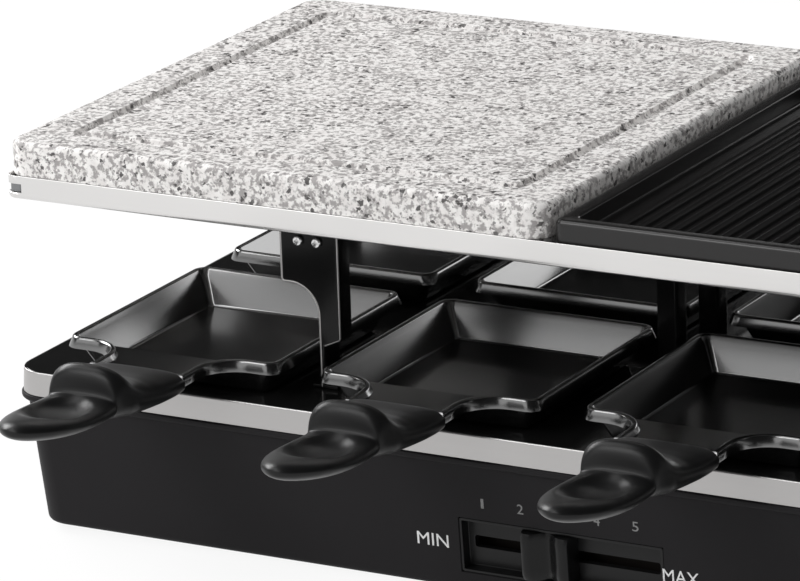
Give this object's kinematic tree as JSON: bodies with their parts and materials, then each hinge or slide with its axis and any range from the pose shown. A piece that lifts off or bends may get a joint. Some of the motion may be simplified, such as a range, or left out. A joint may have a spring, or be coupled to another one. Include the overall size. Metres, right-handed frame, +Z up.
{
  "type": "raclette grill",
  "caption": "Tabletop raclette grill: stone plate and ribbed grill plate in a steel frame on legs over a low base, with long-handled pans that slide in from front and back.",
  "frame": {"origin": "on the table, under the middle of the grill", "axes": "+X along the length towards the grill plate, +Y from front to back, +Z up"},
  "size_m": [0.478, 0.468, 0.1602],
  "materials": {
    "granite": "satin",
    "non_stick": "satin",
    "stainless": "satin",
    "pan_coating": "gloss",
    "black_enamel": "gloss",
    "deck_coating": "matte",
    "shell_plastic": "matte",
    "handle_plastic": "satin",
    "zinc_steel": "satin",
    "element_steel": "matte",
    "rubber": "matte",
    "ceramic": "satin",
    "white_print": "satin"
  },
  "bodies": {
    "grill": {"base_shell": "shell_plastic", "trim_band": "stainless", "deck": "deck_coating", "heat_shield": "zinc_steel", "bottom_cover": "zinc_steel", "foot_front_left": "rubber", "foot_front_right": "rubber", "foot_back_left": "rubber", "foot_back_right": "rubber", "base_screw_front_left": "zinc_steel", "base_screw_front_right": "zinc_steel", "base_screw_back_left": "zinc_steel", "base_screw_back_right": "zinc_steel", "control_bezel": "handle_plastic", "power_regulator": "ceramic", "terminal_block": "ceramic", "thermal_fuse": "zinc_steel", "cord_bush": "rubber", "element_post_front": "black_enamel", "element_post_back": "black_enamel", "heating_element": "element_steel", "element_hanger_left": "zinc_steel", "element_hanger_right": "zinc_steel", "cross_rail_left": "zinc_steel", "cross_rail_right": "zinc_steel", "cross_bar": "zinc_steel", "leg_front_left": "black_enamel", "leg_front_right": "black_enamel", "leg_back_left": "black_enamel", "leg_back_right": "black_enamel", "leg_screw_front_left_1": "zinc_steel", "leg_screw_front_left_2": "zinc_steel", "leg_screw_front_right_1": "zinc_steel", "leg_screw_front_right_2": "zinc_steel", "leg_screw_back_left_1": "zinc_steel", "leg_screw_back_left_2": "zinc_steel", "leg_screw_back_right_1": "zinc_steel", "leg_screw_back_right_2": "zinc_steel", "top_frame": "stainless"},
    "slider": {"slider_knob": "handle_plastic", "slide_carriage": "handle_plastic"},
    "stone": {"stone_plate": "granite"},
    "griddle": {"grill_plate": "non_stick"},
    "front_pan_1": {"pan_front_1": "pan_coating", "handle_front_1": "handle_plastic"},
    "front_pan_2": {"pan_front_2": "pan_coating", "handle_front_2": "handle_plastic"},
    "front_pan_3": {"pan_front_3": "pan_coating", "handle_front_3": "handle_plastic"},
    "front_pan_4": {"pan_front_4": "pan_coating", "handle_front_4": "handle_plastic"},
    "back_pan_1": {"pan_back_1": "pan_coating", "handle_back_1": "handle_plastic"},
    "back_pan_2": {"pan_back_2": "pan_coating", "handle_back_2": "handle_plastic"},
    "back_pan_3": {"pan_back_3": "pan_coating", "handle_back_3": "handle_plastic"},
    "back_pan_4": {"pan_back_4": "pan_coating", "handle_back_4": "handle_plastic"}
  },
  "joints": [
    {"name": "power_slide", "type": "slide", "parent": "grill", "child": "slider", "axis": [1, 0, 0], "range_m": [-0.0252, 0.0364]},
    {"name": "stone_lift", "type": "slide", "parent": "grill", "child": "stone", "axis": [0, 0, 1], "range_m": [0, 0.06]},
    {"name": "griddle_lift", "type": "slide", "parent": "grill", "child": "griddle", "axis": [0, 0, 1], "range_m": [0, 0.06]},
    {"name": "front_pan_1_pull", "type": "slide", "parent": "grill", "child": "front_pan_1", "axis": [0, -1, 0], "range_m": [0, 0.125]},
    {"name": "front_pan_2_pull", "type": "slide", "parent": "grill", "child": "front_pan_2", "axis": [0, -1, 0], "range_m": [0, 0.125]},
    {"name": "front_pan_3_pull", "type": "slide", "parent": "grill", "child": "front_pan_3", "axis": [0, -1, 0], "range_m": [0, 0.125]},
    {"name": "front_pan_4_pull", "type": "slide", "parent": "grill", "child": "front_pan_4", "axis": [0, -1, 0], "range_m": [0, 0.125]},
    {"name": "back_pan_1_pull", "type": "slide", "parent": "grill", "child": "back_pan_1", "axis": [0, 1, 0], "range_m": [0, 0.125]},
    {"name": "back_pan_2_pull", "type": "slide", "parent": "grill", "child": "back_pan_2", "axis": [0, 1, 0], "range_m": [0, 0.125]},
    {"name": "back_pan_3_pull", "type": "slide", "parent": "grill", "child": "back_pan_3", "axis": [0, 1, 0], "range_m": [0, 0.125]},
    {"name": "back_pan_4_pull", "type": "slide", "parent": "grill", "child": "back_pan_4", "axis": [0, 1, 0], "range_m": [0, 0.125]}
  ]
}
